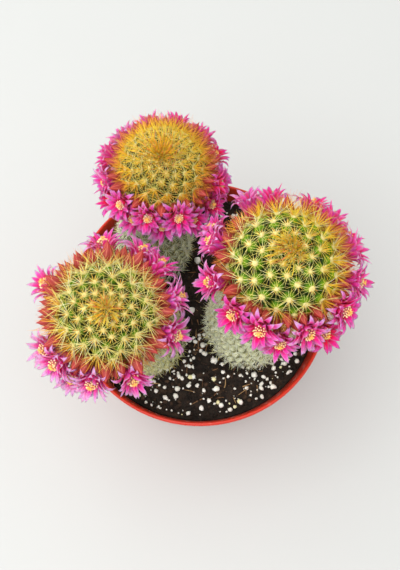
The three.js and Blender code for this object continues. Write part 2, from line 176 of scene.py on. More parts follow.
def swept(path, across, above, outline, tip):
    """Rings of corners round paths (n, rows, 3), then the tips (n, 3): path + across * x + above * y for
    each corner (x, y) of the outline. Axes (n, 1, 3) and outlines (rows, sides, 2) serve all alike."""
    rings = path[:, :, None] + outline[..., :1] * across[:, :, None] + outline[..., 1:] * above[:, :, None]
    return np.concatenate([rings.reshape(len(path), -1, 3), tip[:, None]], 1)


def needles(root, lean, length, thickness, curl, rows=2, sides=3):
    """Curved needles: at share s the middle is root + length * (s * lean + s^2 * curl), and the radius
    is thickness * (1 - s)^0.3. The last point is the tip. Returns points, triangles and each point's s."""
    share = np.arange(rows) / rows
    s = np.append(share, 1.0)[:, None]
    helper = np.where(np.abs(lean[..., 2:]) < 0.8, [0.0, 0.0, 1.0], [1.0, 0.0, 0.0])
    first = unit(np.cross(helper, lean))
    second = np.cross(lean, first)
    path = root[:, None] + length[:, None, None] * (s * lean[:, None] + s * s * curl[:, None])
    outline = thickness[:, None, None, None] * ((1 - share) ** 0.3)[:, None, None] * on_circle(turns(sides))
    points = swept(path[:, :-1], first[:, None], second[:, None], outline, path[:, -1])
    return points, spindle_faces(rows, sides), ring_values(share, sides, 1.0)


def ball(rounds):
    """Points and triangles of a twenty-sided ball of radius 1, each triangle cut in four per round."""
    shape = bmesh.new()
    bmesh.ops.create_icosphere(shape, subdivisions=rounds, radius=1)
    shape.verts.ensure_lookup_table()
    points = np.array([v.co for v in shape.verts])
    faces = np.array([[v.index for v in f.verts] for f in shape.faces])
    shape.free()
    return points, faces


def lumps(centres, sizes, rough, rounds, seed):
    """Uneven balls: each point of a ball moves in or out by a random share up to rough, and each lump
    has its own three axis lengths, 0.75 to 1.2 times its size."""
    draw = np.random.default_rng(seed)
    points, faces = ball(rounds)
    count = len(centres)
    swell = 1 + rough * draw.uniform(-1, 1, (count, len(points), 1))
    stretch = draw.uniform(0.75, 1.2, (count, 1, 3)) * sizes[:, None, None]
    turn = draw.uniform(0, 2 * math.pi, (count, 1))
    x, y, z = np.moveaxis(points * swell * stretch, -1, 0)
    turned = np.stack([x * np.cos(turn) - y * np.sin(turn), x * np.sin(turn) + y * np.cos(turn), z], -1)
    return centres[:, None] + turned, faces


class Heap:
    """Gathers many shapes into one mesh, with named values at each point and a look for each triangle."""

    def __init__(self):
        self.points, self.faces, self.looks, self.values = [], [], [], {}
        self.count = 0

    def add(self, points, faces, look=0, **values):
        """points (n, k, 3) are n copies of a shape with k points, faces (f, 3) the shape's triangles."""
        n, k = points.shape[:2]
        start = self.count + k * np.arange(n)
        self.points.append(points.reshape(-1, 3))
        self.faces.append((start[:, None, None] + faces).reshape(-1, 3))
        self.looks.append(np.full(n * len(faces), look))
        for name, value in values.items():
            self.values.setdefault(name, []).append(np.broadcast_to(value, (n, k)).ravel())
        self.count += n * k


def placed(name, data):
    """A new object in the scene."""
    thing = bpy.data.objects.new(name, data)
    bpy.context.scene.collection.objects.link(thing)
    return thing


def make_piece(name, heap, materials, nodes=()):
    """Puts a heap into a smooth mesh in metres. The piece rides with the plant, and the solids that it
    stands for are hidden."""
    mesh = bpy.data.meshes.new(name)
    faces = np.concatenate(heap.faces).astype(np.int32)
    mesh.vertices.add(heap.count)
    mesh.vertices.foreach_set("co", (np.concatenate(heap.points) * MM).astype(np.float32).ravel())
    mesh.loops.add(faces.size)
    mesh.loops.foreach_set("vertex_index", faces.ravel())
    mesh.polygons.add(len(faces))
    mesh.polygons.foreach_set("loop_start", np.arange(0, faces.size, 3, dtype=np.int32))
    mesh.polygons.foreach_set("material_index", np.concatenate(heap.looks).astype(np.int32))
    for value_name, parts in heap.values.items():
        values = mesh.attributes.new(value_name, "FLOAT", "POINT")
        values.data.foreach_set("value", np.concatenate(parts).astype(np.float32))
    mesh.update(calc_edges=True)
    mesh.validate()
    mesh.shade_smooth()
    for material in materials:
        mesh.materials.append(material)
    piece = placed(name, mesh)
    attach(piece, "root")
    if nodes:
        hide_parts(*nodes)
    return piece


# Materials


class Nodes:
    """The nodes of one material or node group."""

    def __init__(self, tree):
        self.tree = tree

    def put(self, socket, value):
        """Links a socket to another node's output, or gives it a plain value."""
        if isinstance(value, bpy.types.NodeSocket):
            self.tree.links.new(value, socket)
        else:
            socket.default_value = value

    def add(self, kind, inputs, **settings):
        """Adds a node, then sets its properties and its inputs."""
        node = self.tree.nodes.new("ShaderNode" + kind)
        for name, value in settings.items():
            setattr(node, name, value)
        for name, value in inputs.items():
            self.put(node.inputs[name], value)
        return node

    def attribute(self, name):
        return self.add("Attribute", {}, attribute_name=name).outputs["Fac"]

    def maths(self, operation, a, b=0.0):
        return self.add("Math", {0: a, 1: b}, operation=operation).outputs[0]

    def plus(self, a, b):
        return self.maths("ADD", a, b)

    def times(self, a, b):
        return self.maths("MULTIPLY", a, b)

    def mix(self, share, a, b, kind="MIX"):
        """Mixes colour a into colour b by a share from 0 to 1."""
        return self.add("Mix", {0: share, 6: a, 7: b}, data_type="RGBA", blend_type=kind).outputs[2]

    def ramp(self, value, *stops):
        """A run of colours along a value. A stop is a place and the colour's red, green and blue."""
        node = self.add("ValToRGB", {"Fac": value})
        elements = node.color_ramp.elements
        while len(elements) < len(stops):
            elements.new(0.5)
        for element, (place, *colour) in zip(elements, stops):
            element.position = place
            element.color = rgb(*colour)
        return node.outputs["Color"]

    def noise(self, scale, detail=3, roughness=0.55):
        """Noise on the piece's own coordinates, with scale in repeats a metre."""
        where = self.add("TexCoord", {}).outputs["Object"]
        inputs = {"Vector": where, "Scale": scale, "Detail": detail, "Roughness": roughness}
        return self.add("TexNoise", inputs).outputs["Fac"]

    def stretched(self, value, low, high, out_low=0, out_high=1):
        """Maps a value's range to another and holds it at the ends."""
        inputs = {0: value, 1: low, 2: high, 3: out_low, 4: out_high}
        return self.add("MapRange", inputs, clamp=True).outputs[0]


def new_group(name, inputs, output, kind):
    """A node group with float inputs {name: default} and one output. Returns its nodes and both ends."""
    tree = bpy.data.node_groups.new(name, "ShaderNodeTree")
    for socket, default in inputs.items():
        new = tree.interface.new_socket(socket, in_out="INPUT", socket_type="NodeSocketFloat")
        new.default_value = default
    tree.interface.new_socket(output, in_out="OUTPUT", socket_type=kind)
    ends = tree.nodes.new("NodeGroupInput").outputs, tree.nodes.new("NodeGroupOutput").inputs[output]
    return Nodes(tree), *ends


def make_mottle_group():
    """Uneven tone: coarse and fine noise, mixed into one value round 0.5."""
    inputs = {"Coarse": 60.0, "Fine": 500.0, "Contrast": 1.0}
    nodes, given, out = new_group("mottle", inputs, "Tone", "NodeSocketFloat")
    coarse, fine = nodes.noise(given["Coarse"]), nodes.noise(given["Fine"], 2)
    both = nodes.plus(nodes.times(coarse, 0.6), nodes.times(fine, 0.4))
    centred = nodes.times(nodes.maths("SUBTRACT", both, 0.5), given["Contrast"])
    nodes.put(out, nodes.plus(centred, 0.5))
    return nodes.tree


def make_relief_group():
    """A bumped normal from noise, with the noise's scale in repeats a metre and its depth in metres."""
    nodes, given, out = new_group("relief", {"Scale": 900.0, "Depth": 0.0002}, "Normal", "NodeSocketVector")
    bump = nodes.add("Bump", {"Height": nodes.noise(given["Scale"], 4), "Distance": given["Depth"]})
    nodes.put(out, bump.outputs["Normal"])
    return nodes.tree


MOTTLE = make_mottle_group()
RELIEF = make_relief_group()


class Look(Nodes):
    """A material with a Principled shader."""

    def __init__(self, name, **constants):
        self.material = bpy.data.materials.new(name)
        self.material.use_nodes = True
        super().__init__(self.material.node_tree)
        self.shade(**constants)

    def shade(self, **values):
        """Sets or links the shader's sockets, with _ for a space, and returns the material."""
        sockets = self.tree.nodes["Principled BSDF"].inputs
        for name, value in values.items():
            self.put(sockets[name.replace("_", " ")], value)
        return self.material

    def mottle(self, coarse, fine, contrast=1):
        inputs = {"Coarse": coarse, "Fine": fine, "Contrast": contrast}
        return self.add("Group", inputs, node_tree=MOTTLE).outputs["Tone"]

    def relief(self, scale, depth):
        return self.add("Group", {"Scale": scale, "Depth": depth}, node_tree=RELIEF).outputs["Normal"]

    def uneven(self, name, coarse, fine, contrast=1):
        """The value that a piece has at each point, made uneven by the mottle."""
        spread = self.maths("SUBTRACT", self.mottle(coarse, fine, contrast), 0.5)
        return self.plus(self.attribute(name), spread)


def plastic_material():
    """Glossy orange-red moulded plastic: slight unevenness, scuffs, and patchy brown darkening that is
    partly dirt from the soil and partly painted shade, low inside, under the lip and in corners.
    """
    look = Look("pot_plastic", IOR=1.5, Specular_IOR_Level=0.35)
    tone = look.mottle(25, 260)
    base = look.mix(tone, rgb(176, 33, 14), rgb(192, 43, 20))
    scuff = look.stretched(look.noise(140, 6, 0.7), 0.62, 0.78)
    worn = look.mix(look.times(scuff, 0.35), base, rgb(240, 150, 128))
    # brown patches: partly dirt from the soil, partly painted shade on the inner wall down to the soil,
    # under the lip and in the collar's step
    dust = look.times(look.attribute("dust"), look.stretched(look.noise(320, 5), 0.35, 0.65))
    gloss = look.plus(look.stretched(tone, 0.3, 0.7, 0.24, 0.36), look.times(scuff, 0.25))
    return look.shade(
        Base_Color=look.mix(dust, worn, rgb(74, 52, 40)), Roughness=look.plus(gloss, look.times(dust, 0.4)),
        Normal=look.relief(420, 0.00006))


def peat_material():
    """Dark damp peat: near black with brown specks, and a crumbly relief."""
    look = Look("peat", IOR=1.35)
    lightness = look.uneven("tone", 240, 1400)
    colour = look.ramp(lightness, (0, 16, 11, 8), (0.35, 38, 28, 20), (0.65, 72, 53, 38), (1, 124, 94, 64))
    return look.shade(
        Base_Color=colour, Roughness=look.stretched(look.mottle(300, 900), 0.3, 0.7, 0.7, 0.98),
        Normal=look.relief(1300, 0.0006))


def perlite_material():
    """Chalk-white expanded grains, some stained yellow or grey, with fine pits."""
    look = Look("perlite", Roughness=0.85)
    stops = (0, 170, 166, 150), (0.3, 222, 220, 208), (0.75, 244, 243, 236), (1, 232, 226, 168)
    colour = look.ramp(look.uneven("tone", 500, 2400, 0.5), *stops)
    return look.shade(Base_Color=colour, Normal=look.relief(2200, 0.0003))


def straw_material():
    """Dry brown fibres and bits of bark."""
    look = Look("fibre", Roughness=0.8)
    stops = (0, 60, 38, 24), (0.5, 124, 84, 50), (1, 190, 156, 104)
    colour = look.ramp(look.uneven("tone", 400, 2000), *stops)
    return look.shade(Base_Color=colour, Normal=look.relief(1800, 0.0002))


def skin_material():
    """Waxy cactus skin: near black in the valleys as painted shade, vivid green on the tubercles with
    lighter tips as painted light, greyer and browner with age.
    """
    look = Look("cactus_skin", Specular_IOR_Level=0.15)
    # the height on each tubercle picks the colour: painted shade at its foot, painted light at its tip
    tone = look.uneven("height", 300, 1500, 0.7)
    young = look.ramp(tone, (0, 2, 6, 0), (0.35, 28, 48, 0), (0.65, 74, 114, 0), (1, 126, 156, 14))
    old = look.ramp(tone, (0, 52, 52, 30), (0.5, 154, 156, 110), (1, 226, 230, 200))
    return look.shade(
        Base_Color=look.mix(look.attribute("age"), young, old),
        Roughness=look.stretched(tone, 0, 1, 0.6, 0.36), Normal=look.relief(2600, 0.00012))


def wool_material():
    """Cream felt of the areoles, golden at the crown and grey on the trunk."""
    look = Look("areole_wool", Roughness=0.95, Specular_IOR_Level=0.2, Sheen_Weight=0.1, Sheen_Roughness=0.5)
    stops = (0, 214, 220, 198), (0.3, 228, 217, 150), (0.6, 222, 194, 92), (1, 204, 150, 48)
    colour = look.ramp(look.uneven("tone", 700, 3000, 0.5), *stops)
    return look.shade(Base_Color=colour, Normal=look.relief(3200, 0.0006))


def spine_material():
    """Glassy spines: each point's warmth picks a colour, grey-white, cream, gold, orange or red-brown."""
    look = Look("spine", Specular_IOR_Level=0.2)
    warmth = look.plus(look.attribute("warmth"), look.stretched(look.noise(900), 0.3, 0.7, -0.04, 0.04))
    colour = look.ramp(
        warmth, (0, 244, 250, 236), (0.14, 233, 227, 140), (0.3, 230, 199, 50), (0.46, 232, 168, 36),
        (0.58, 232, 150, 74), (0.7, 224, 118, 78), (0.84, 160, 62, 36), (1, 54, 26, 20))
    shade = look.stretched(look.mottle(130, 700), 0.3, 0.7, 0.84, 1.06)
    return look.shade(
        Base_Color=look.mix(1.0, colour, shade, "MULTIPLY"),
        Roughness=look.stretched(warmth, 0, 1, 0.6, 0.35))


def petal_material():
    """Silky petals: crimson at the root, magenta in the middle, lilac at the tip and margins, with fine
    lengthwise veins and a darker middle stripe. The outer side is redder."""
    look = Look(
        "petal", Specular_IOR_Level=0.12, Subsurface_Weight=0.5, Subsurface_Scale=0.004,
        Sheen_Weight=0.2, Sheen_Roughness=0.4, Sheen_Tint=(1.0, 0.35, 0.6, 1.0))
    along, across = look.attribute("along"), look.attribute("across")
    tone = look.plus(along, look.attribute("pale"))
    inner = look.ramp(
        tone, (0, 240, 6, 40), (0.28, 252, 12, 80), (0.52, 255, 34, 144), (0.76, 255, 74, 174),
        (1, 255, 162, 216))
    outer = look.ramp(
        tone, (0, 242, 66, 54), (0.26, 252, 34, 84), (0.5, 255, 46, 148), (0.76, 255, 84, 182),
        (1, 255, 156, 214))
    both = look.mix(look.attribute("inside"), outer, inner)
    stripe = look.times(look.stretched(across, 0, 0.4, 0.4, 0), look.stretched(along, 0.2, 0.9, 1, 0.3))
    striped = look.mix(stripe, both, rgb(236, 6, 90))
    margin = look.times(look.stretched(across, 0.55, 1), look.stretched(along, 0.3, 0.8, 0, 0.45))
    vein = look.maths("SINE", look.times(across, 22))
    bump = look.add("Bump", {"Height": vein, "Distance": 0.00008, "Normal": look.relief(1500, 0.0001)})
    return look.shade(
        Base_Color=look.mix(margin, striped, rgb(255, 146, 208)),
        Roughness=look.stretched(look.mottle(400, 2000), 0.3, 0.7, 0.4, 0.6), Normal=bump.outputs["Normal"])


def bud_material():
    """Closed buds: dull salmon red with fine paler lines that run to a red tip."""
    look = Look("bud", Roughness=0.55)
    stops = (0, 84, 48, 20), (0.25, 124, 38, 18), (0.6, 138, 27, 20), (1, 158, 10, 22)
    body = look.ramp(look.attribute("along"), *stops)
    waver = look.stretched(look.noise(600), 0.3, 0.7, -0.1, 0.1)
    line = look.stretched(look.plus(look.attribute("across"), waver), 0.7, 0.95)
    lined = look.mix(look.times(line, 0.4), body, rgb(232, 140, 104))
    blotch = look.stretched(look.mottle(350, 1600), 0.2, 0.8, 0, 0.4)
    return look.shade(Base_Color=look.mix(blotch, lined, rgb(140, 44, 34)), Normal=look.relief(1600, 0.0002))


def heart_material():
    """Heart of a bloom: pink threads, cream lobes and golden anthers, picked by each point's value."""
    look = Look("bloom_heart", Roughness=0.7)
    tone = look.plus(look.attribute("along"), look.stretched(look.noise(2400), 0.3, 0.7, -0.05, 0.05))
    stops = (0, 214, 60, 110), (0.35, 240, 176, 150), (0.6, 252, 240, 198), (1, 252, 192, 62)
    return look.shade(Base_Color=look.ramp(tone, *stops), Normal=look.relief(3000, 0.0003))


def floor_material():
    """A matt white table top, faintly uneven."""
    look = Look("table", Roughness=0.85, Specular_IOR_Level=0.2)
    return look.shade(Base_Color=look.mix(look.mottle(3, 40, 0.4), rgb(178, 180, 179), rgb(183, 185, 184)))


# Stems


class Stem:
    """One stem: its line is a cubic curve from the foot in the soil up into the middle of the head."""

    def __init__(self, name, foot, crown, up, girth, **details):
        """The details are the blooms' and buds' angles, and what shapes and tints spines and blooms."""
        self.name, self.girth = name, girth
        for key, value in details.items():
            setattr(self, key, value)
        self.foot = np.array([*foot, SOIL_LEVEL], float)
        crown = np.array(crown, float)
        self.up = unit(np.array(up, float))
        self.height = np.linalg.norm(crown - self.foot)
        handle = BEND_HANDLE * self.height
        self.knots = np.array([self.foot, self.foot + [0, 0, handle], crown - handle * self.up, crown])
        self.skin_radius = girth - TUBERCLE_HEIGHT
        self.pole = math.pi / 2 * girth
        self.root_radius = TRUNK_SHARE * girth - TUBERCLE_HEIGHT

    def line(self, t):
        """Place and unit tangent at share t of the line."""
        t = t[..., None]
        a, b, c, d = self.knots
        rest = 1 - t
        tangent = 3 * rest ** 2 * (b - a) + 6 * t * rest * (c - b) + 3 * t * t * (d - c)
        return cubic(self.knots, t), unit(tangent)

    def radius(self, rise):
        """Skin radius between tubercles: a cosine over the dome, narrowing smoothly down the neck."""
        slope = np.maximum(rise, 0) / self.girth
        neck = (1 - TRUNK_SHARE) * self.girth * smoothstep(-rise, *NECK_RUN)
        return self.skin_radius * np.cos(slope) - neck

    def skin(self, angle, rise, lift):
        """Place on the skin: rise runs up the stem with 0 at the head's widest, angle round it, and lift
        stands off it. Returns place, normal, radial and tangent."""
        angle, rise, lift = np.broadcast_arrays(angle, rise, lift)
        place, tangent = self.line(np.maximum(0, 1 + np.minimum(rise, 0) / self.height))
        tangent = np.where(rise[..., None] >= 0, self.up, tangent)
        east = unit(np.array([1.0, 0, 0]) - tangent[..., :1] * tangent)
        radial = around(angle, east, np.cross(tangent, east))
        slope = np.maximum(rise, 0) / self.girth
        normal = around(slope, radial, tangent)
        place = place + DOME_FLATNESS * self.skin_radius * np.sin(slope)[..., None] * tangent
        place = place + self.radius(rise)[..., None] * radial + lift[..., None] * normal
        return place, normal, radial, tangent

    def seats(self, angles, rises, tilt):
        """Seats of blooms or buds, their leaning directions, sin(tilt) outwards plus cos(tilt) up the
        stem, and an axis across each."""
        place, _, radial, tangent = self.skin(angles, rises, SEAT_LIFT)
        return place, around(np.radians(tilt), tangent, radial), unit(np.cross(tangent, radial))

    def lower_blooms(self):
        """Whether each bloom is in the lower row, which has the even slots round the head."""
        return np.round(np.radians(self.bloom_angles) / SLOT_ANGLE) % 2 == 0

    def bloom_seats(self):
        lower = self.lower_blooms()
        rises, tilts = np.where(lower, LOWER_ROW, UPPER_ROW), np.where(lower, LOWER_TILT, UPPER_TILT)
        return self.seats(np.radians(self.bloom_angles), rises, tilts)

    def bud_seats(self):
        """Seats of the buds between the blooms, then of those above them."""
        slots = np.round(np.radians(self.buds) / SLOT_ANGLE)
        high = np.radians(self.crown_buds)
        low_rises = np.where(slots % 2 == 0, LOWER_ROW, UPPER_ROW)
        rises = np.append(low_rises, np.full(len(high), CROWN_ROW))
        return self.seats(np.append(slots * SLOT_ANGLE, high), rises, BUD_TILT)


STEMS = [
    Stem("left", (-29, -20.5), (-43.6, -28.1, 165), (0.08, -0.22, 0.97), 24.5,
         bloom_angles=[13, 43, 62, 95, 154, 208, 226, 241, 259, 292, 342],
         buds=[75, 120, 180, 315], crown_buds=ALL_ROUND,
         bloom=dict(tube=12.5, length=17.5, spread=9.9, fullness=1.16, width=0.8, pale=0.2, far=0.0),
         tuft=dict(count=80, reach=4.2, outward=0.5, length=7.5, gold=0.26, dark=0.6,
                   sweep=[-0.1, -0.12, 0]),
         spacing=6.5, gold=0.26, comb=-0.2, shag_top=14, sunny_side=200, sunny_lift=6, ring_reach=10.5,
         star=14, star_tint=0.18, strands=6, strand_length=6, strand_growth=3.8, hair=11, hair_tint=0.66,
         veil=12, bud_size=1.2, trunk_tint=0.08),
    Stem("right", (26, -14), (40.1, -4.9, 165), (0.05, -0.02, 1), 26.5,
         bloom_angles=[15, 31, 47, 65, 98, 113, 148, 162, 195, 226, 249, 267, 286, 303, 321, 348],
         buds=[210], crown_buds=[210, 240, 270, 300],
         bloom=dict(tube=13, length=18, spread=9.7, fullness=1.12, width=0.98, pale=0.0, far=0.34),
         tuft=dict(count=130, reach=7, outward=0.3, length=10, gold=0.26, dark=0.5,
                   sweep=[-0.34, -0.3, -0.12]),
         spacing=7.6, gold=0.0, comb=-0.15, shag_top=11, sunny_side=35, sunny_lift=19, ring_reach=11.5,
         star=15, star_tint=0.15, strands=15, strand_length=5.5, strand_growth=4.5, hair=14, hair_tint=0.6,
         veil=6, bud_size=1.16, trunk_tint=0.02),
    Stem("back", (-26, 31), (-18.6, 50.2, 157), (0, 0, 1), 23,
         bloom_angles=[2, 31, 46, 61, 76, 91, 106, 121, 135, 149, 163,
                       178, 194, 209, 225, 241, 256, 271, 286, 302, 329, 345],
         buds=[], crown_buds=[210, 240, 270, 300],
         bloom=dict(tube=9, length=13.5, spread=7.4, fullness=1.26, width=1.12, pale=0.02, far=0.36),
         tuft=dict(count=90, reach=4, outward=0.4, length=8, gold=0.32, dark=0.34,
                   sweep=[0, -0.08, 0]),
         spacing=5.6, gold=0.75, comb=-0.45, shag_top=9, sunny_side=90, sunny_lift=9, ring_reach=9,
         star=17, star_tint=0.19, strands=12, strand_length=6.2, strand_growth=1.2, hair=18, hair_tint=0.74,
         veil=9, bud_size=1.0, trunk_tint=0.03),
]


class Areoles:
    """Arrays with a value for each areole: place, normal, across, above, spacing, rise, lift and angle."""

    def __init__(self, **arrays):
        self.arrays = arrays
        for name, values in arrays.items():
            setattr(self, name, values)

    def picked(self, chosen):
        return Areoles(**{name: values[chosen] for name, values in self.arrays.items()})


def areole_sites(stem):
    """Angle and rise of each areole. Each turns on by the golden angle from the last, and they come at
    equal steps of the skin's area counted in cells of 0.87 * spacing^2, crown first. The spacing grows
    from 0.42 of its full size at the crown to the whole at 26 mm from it, and is 5.4 mm on the trunk."""
    rise = np.linspace(stem.pole - 0.5, 1.5 - stem.height, 6000)
    slope = np.maximum(rise, 0) / stem.girth
    dome_run = stem.skin_radius * np.hypot(np.sin(slope), DOME_FLATNESS * np.cos(slope)) / stem.girth
    run = np.where(rise > 0, dome_run, 1)
    spacing = stem.spacing * mixed(0.42, 1.0, smoothstep(stem.pole - rise, -6, 26))
    spacing = mixed(spacing, TRUNK_SPACING, smoothstep(-rise, 8, 20))
    area = 2 * math.pi * np.maximum(stem.radius(rise), 0.2) * run * (rise[0] - rise[1])
    count = np.cumsum(area / (0.87 * spacing ** 2))
    number = np.arange(int(count[-1]))
    place = np.interp(number + 0.5, count, rise)
    return number * GOLDEN_ANGLE, place, np.interp(place, rise[::-1], spacing[::-1])


def distance_to_lines(points, starts, directions, lengths):
    """Distance of each point from each line piece, (points, lines)."""
    offset = points[:, None] - starts
    along = np.clip((offset * directions).sum(-1), 0, lengths)
    return np.linalg.norm(offset - along[..., None] * directions, axis=-1)


def dressed_areoles(stem):
    """The areoles that blooms and buds leave free."""
    angle, rise, spacing = areole_sites(stem)
    lift = TUBERCLE_HEIGHT * np.clip(spacing / 7.0, 0.45, 1.05)
    place, normal, radial, tangent = stem.skin(angle, rise, lift)
    bloom_seat, bloom_way, _ = stem.bloom_seats()
    bud_seat, bud_way, _ = stem.bud_seats()
    clear = distance_to_lines(place, bloom_seat, bloom_way, stem.bloom["tube"]).min(1) > BLOOM_CLEARANCE
    clear &= distance_to_lines(place, bud_seat, bud_way, BUD_LENGTH - 3).min(1) > BUD_CLEARANCE
    across = unit(np.cross(tangent, radial))
    found = Areoles(
        place=place, normal=normal, across=across, above=np.cross(normal, across),
        spacing=spacing, rise=rise, lift=lift, angle=angle)
    return found.picked(clear)


def stem_body(stem, sites):
    """The stem's skin between its root and its crown, with a cone-shaped tubercle under each areole and
    a felt cushion on it."""
    sides = 48
    rises = np.concatenate([np.linspace(1 - stem.height, 0, 40), np.linspace(0, stem.pole, 24)[1:-1]])
    foot = on_circle(turns(sides)) * stem.root_radius + stem.foot[:2]
    root = [at_height(foot, SOIL_LEVEL - ROOT_DEPTH), at_height(foot, SOIL_LEVEL - 1)]
    skin = stem.skin(turns(sides)[None], rises[:, None], SKIN_LIFT)[0]
    top = stem.skin(0.0, stem.pole, SKIN_LIFT)[0]
    points = np.concatenate([*root, skin.reshape(-1, 3), top[None]])
    age = ring_values(np.append([1, 1], smoothstep(-rises, *AGEING_RUN)), sides, 0.0)
    heap = Heap()
    # the skin between the tubercles has height 0, the darkest colour: painted shade in the valleys
    heap.add(points[None], spindle_faces(len(rises) + 2, sides), height=0.0, age=age, tone=0.0)
    add_tubercles(heap, stem, sites)
    add_wool(heap, stem, sites)
    return heap


def add_tubercles(heap, stem, sites):
    """Cones with rounded shoulders: radius 0.64 to 0.17 of the spacing over four rings up to the areole."""
    sides = 9
    share = np.array([-0.3, 0.3, 0.66, 0.92])
    width = np.array([0.64, 0.5, 0.33, 0.17])
    path = sites.place[:, None] + (share[:, None] - 1) * sites.lift[:, None, None] * sites.normal[:, None]
    outline = (sites.spacing[:, None] * width)[..., None, None] * on_circle(turns(sides))
    tip = sites.place + 0.1 * sites.normal
    points = swept(path, sites.across[:, None], sites.above[:, None], outline, tip)
    # the height picks the skin colour: painted shade at the foot, painted light at the tip, with darker tips
    # on golden stems
    height = ring_values(np.clip(share, 0, 1), sides, 1.0) * (1 - 0.7 * stem.gold)
    age = smoothstep(-sites.rise, *AGEING_RUN)[:, None]
    heap.add(points, spindle_faces(len(share), sides), height=height, age=age, tone=0.0)


def add_wool(heap, stem, sites):
    """A flattened felt cushion on each areole, golden near the crown, cream below and grey on the trunk,
    where it has fewer faces."""
    high = sites.rise > LOWER_ROW
    for chosen, rounds in (high, 2), (~high, 1):
        some = sites.picked(chosen)
        crown = smoothstep(some.rise, stem.pole - 16, stem.pole - 5)
        aged = smoothstep(-some.rise, 6, 24)
        size = np.clip(0.2 * some.spacing + 0.35 * crown, 0.7, 1.5) * (1 - 0.35 * aged)
        points, faces = lumps(np.zeros_like(some.place), size, 0.1, rounds, 11)
        x, y, z = np.moveaxis(points[..., None], 2, 0)
        laid = x * some.across[:, None] + y * some.above[:, None] + 0.6 * z * some.normal[:, None]
        middle = (some.place + 0.15 * some.normal)[:, None]
        tone = np.clip(0.32 + 0.08 * stem.gold + 0.08 * crown - 0.3 * aged, 0, 1)[:, None]
        heap.add(laid + middle, faces, look=1, height=0.0, age=0.0, tone=tone)


def misses_blooms(stem, points):
    """Whether points keep out of every open bloom: a cone that widens from the throat to the petal tips."""
    seat, way, _ = stem.bloom_seats()
    offset = points[:, None] - seat
    along = (offset * way).sum(-1)
    away = np.linalg.norm(offset - along[..., None] * way, axis=-1)
    tube, length, spread = stem.bloom["tube"], stem.bloom["length"], stem.bloom["spread"]
    inside = (along > 0.6 * tube) & (along < length + 2)
    flare = mixed(2.2, 0.95 * spread, smoothstep(along, 0.7 * tube, length))
    return ~(inside & (away < flare)).any(1)


def add_tier(heap, stem, sites, seed, count, rise, length, thickness, tint, tip_tint, comb, bend, rows):
    """Spines that spread from each areole. Spine k stands at turn 2 pi (k + jitter) / count round the
    areole's normal and rise degrees above its plane, is combed by a share of the upward direction, and
    bends along the normal. Length, tints, comb and bend may have a value for each areole."""
    draw = np.random.default_rng(seed)
    number = len(sites.place)
    given = (length, tint, tip_tint, comb, bend)
    length, tint, tip_tint, comb, bend = (np.broadcast_to(value, number) for value in given)
    jitter = draw.uniform(-0.35, 0.35, (number, count)) + draw.uniform(0, 1, (number, 1))
    turn = (np.arange(count) + jitter) / count * 2 * math.pi
    tilt = np.radians(rise + draw.uniform(-9, 9, (number, count)))
    across, above, normal = sites.across[:, None], sites.above[:, None], sites.normal[:, None]
    flat = around(turn, across, above)
    lean = unit(around(tilt, flat, normal) + comb[:, None, None] * above).reshape(-1, 3)
    long = (length[:, None] * draw.uniform(0.78, 1.16, (number, count))).ravel()
    curl = (bend[:, None, None] * normal + draw.normal(0, 0.022, (number, count, 3))).reshape(-1, 3)
    root = (sites.place[:, None] + 0.35 * flat).reshape(-1, 3)
    end = root + long[:, None] * lean
    keep = misses_blooms(stem, root + 0.6 * long[:, None] * lean) & misses_blooms(stem, end)
    keep &= end[:, 2] > SOIL_LEVEL
    thick = thickness * draw.uniform(0.8, 1.15, keep.shape)
    points, faces, share = needles(root[keep], lean[keep], long[keep], thick[keep], curl[keep], rows)
    base = (tint[:, None] + draw.uniform(-0.05, 0.05, (number, count))).ravel()[keep][:, None]
    tip = (tip_tint[:, None] + draw.uniform(-0.12, 0.12, (number, count))).ravel()[keep][:, None]
    heap.add(points, faces, warmth=np.clip(mixed(base, tip, share ** 1.6), 0.01, 0.99))


def spine_zones(stem, sites):
    """Shares from 0 to 1 that say how far each areole belongs to the crown, the shoulder and the trunk.
    The shoulder's golden spines reach further up on the sunny side."""
    sunny = stem.sunny_lift * np.cos(sites.angle - math.radians(stem.sunny_side))
    crown = smoothstep(sites.rise, stem.pole - 12, stem.pole - 5)
    shoulder = smoothstep(sites.rise - sunny, stem.pole - 22, stem.pole - 37)
    return crown, shoulder, smoothstep(-sites.rise, 9, 16)


def add_trunk_spines(heap, stem, sites, seed):
    """White bristles that hide the old skin: a dense star and a few that stand up from every areole."""
    tint = stem.trunk_tint
    add_tier(
        heap, stem, sites, seed, count=17, rise=30, length=4.8, thickness=0.13,
        tint=tint, tip_tint=tint, comb=-0.12, bend=-0.03, rows=2)
    add_tier(
        heap, stem, sites, seed + 1, count=4, rise=50, length=5.6, thickness=0.14,
        tint=tint + 0.02, tip_tint=tint + 0.1, comb=-0.15, bend=0.03, rows=2)


